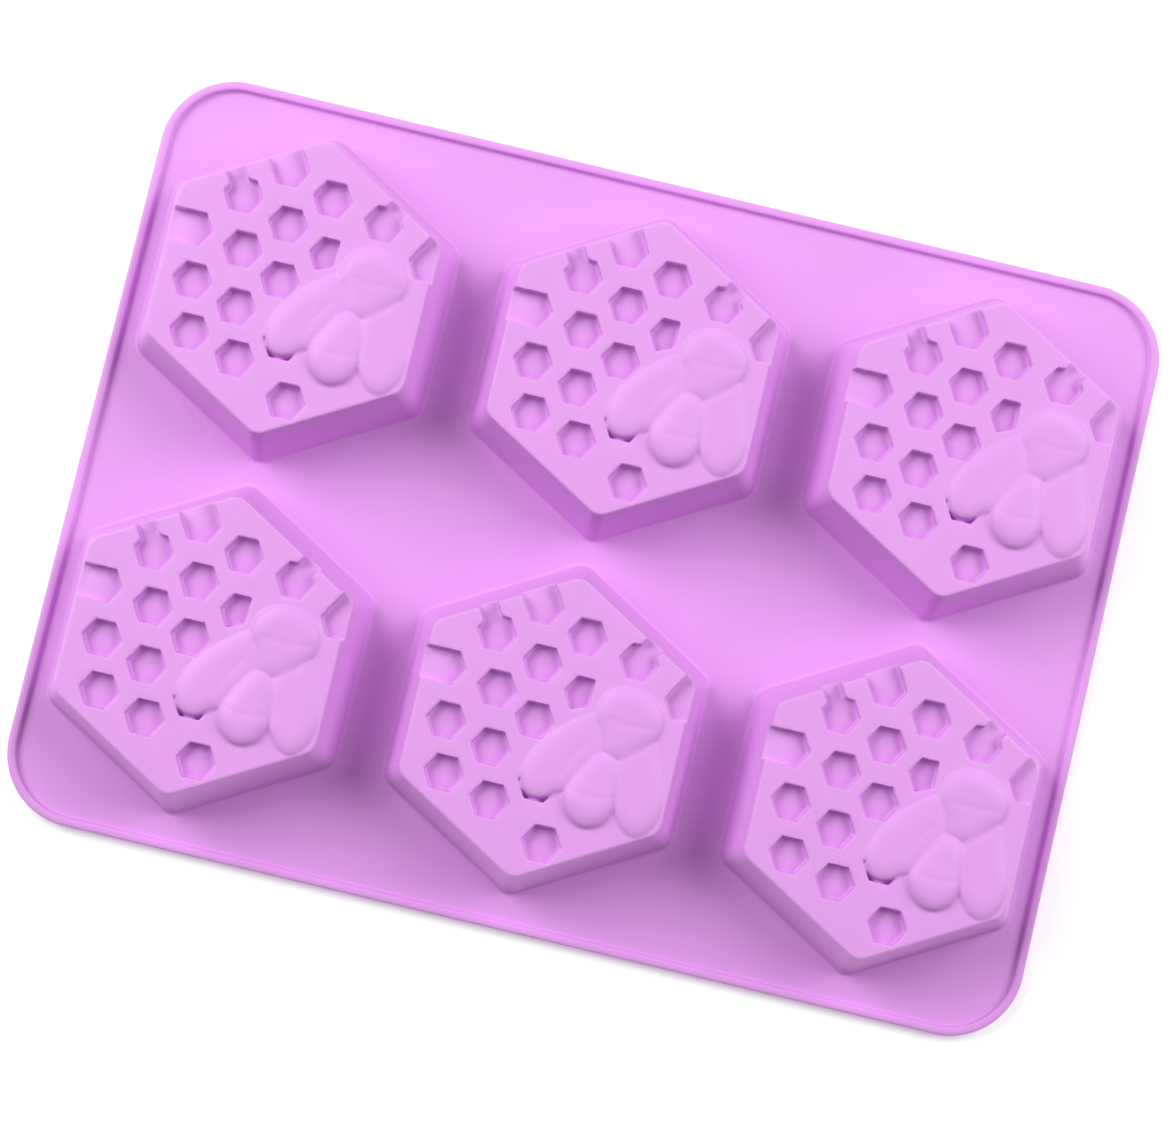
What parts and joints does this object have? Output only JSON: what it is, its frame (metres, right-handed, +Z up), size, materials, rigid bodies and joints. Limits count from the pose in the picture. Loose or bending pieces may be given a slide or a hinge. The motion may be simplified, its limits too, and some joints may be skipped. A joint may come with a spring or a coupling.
{
  "type": "silicone soap mould",
  "caption": "Flexible silicone tray mould with hexagonal cavities whose ends carry honeycomb cells and a bee in relief, shown casting face down.",
  "frame": {"origin": "centre of the tray on its flat casting face, the lowest face as it lies in use on a table", "axes": "+X along the long side through three cups, +Y across the tray towards the back row, +Z up from the casting face through the end walls"},
  "size_m": [0.27, 0.201, 0.0252],
  "materials": {
    "mould_silicone": "soft matte orchid pink silicone with a faint satin sheen",
    "rim_silicone": "the same orchid pink silicone, thicker and smoother along the bead",
    "relief_silicone": "the same orchid pink silicone, finely matte on the raised bee"
  },
  "bodies": {
    "centre_panel": {"centre_deck": "mould_silicone", "centre_rim_bead_front": "rim_silicone", "centre_rim_bead_back": "rim_silicone", "left_flex_web": "mould_silicone", "right_flex_web": "mould_silicone", "cavity_wall_2": "mould_silicone", "cavity_wall_5": "mould_silicone"},
    "left_panel": {"left_deck": "mould_silicone", "left_rim_bead": "rim_silicone", "cavity_wall_1": "mould_silicone", "cavity_wall_4": "mould_silicone"},
    "right_panel": {"right_deck": "mould_silicone", "right_rim_bead": "rim_silicone", "cavity_wall_3": "mould_silicone", "cavity_wall_6": "mould_silicone"},
    "end_wall_1": {"honeycomb_end_1": "mould_silicone", "bee_relief_1": "relief_silicone"},
    "end_wall_2": {"honeycomb_end_2": "mould_silicone", "bee_relief_2": "relief_silicone"},
    "end_wall_3": {"honeycomb_end_3": "mould_silicone", "bee_relief_3": "relief_silicone"},
    "end_wall_4": {"honeycomb_end_4": "mould_silicone", "bee_relief_4": "relief_silicone"},
    "end_wall_5": {"honeycomb_end_5": "mould_silicone", "bee_relief_5": "relief_silicone"},
    "end_wall_6": {"honeycomb_end_6": "mould_silicone", "bee_relief_6": "relief_silicone"}
  },
  "joints": [
    {"name": "left_fold", "type": "hinge", "parent": "centre_panel", "child": "left_panel", "pos_m": [-0.04485, 0, 0.001], "axis": [0, 1, 0], "range_deg": [-90, 50], "stiffness_Nm_per_rad": 0.012, "deforming": ["left_flex_web"]},
    {"name": "right_fold", "type": "hinge", "parent": "centre_panel", "child": "right_panel", "pos_m": [0.04485, 0, 0.001], "axis": [0, -1, 0], "range_deg": [-90, 50], "stiffness_Nm_per_rad": 0.012, "deforming": ["right_flex_web"]},
    {"name": "end_wall_1_press", "type": "slide", "parent": "left_panel", "child": "end_wall_1", "axis": [0, 0, -1], "range_m": [0, 0.008], "stiffness_N_per_m": 800},
    {"name": "end_wall_2_press", "type": "slide", "parent": "centre_panel", "child": "end_wall_2", "axis": [0, 0, -1], "range_m": [0, 0.008], "stiffness_N_per_m": 800},
    {"name": "end_wall_3_press", "type": "slide", "parent": "right_panel", "child": "end_wall_3", "axis": [0, 0, -1], "range_m": [0, 0.008], "stiffness_N_per_m": 800},
    {"name": "end_wall_4_press", "type": "slide", "parent": "left_panel", "child": "end_wall_4", "axis": [0, 0, -1], "range_m": [0, 0.008], "stiffness_N_per_m": 800},
    {"name": "end_wall_5_press", "type": "slide", "parent": "centre_panel", "child": "end_wall_5", "axis": [0, 0, -1], "range_m": [0, 0.008], "stiffness_N_per_m": 800},
    {"name": "end_wall_6_press", "type": "slide", "parent": "right_panel", "child": "end_wall_6", "axis": [0, 0, -1], "range_m": [0, 0.008], "stiffness_N_per_m": 800}
  ]
}
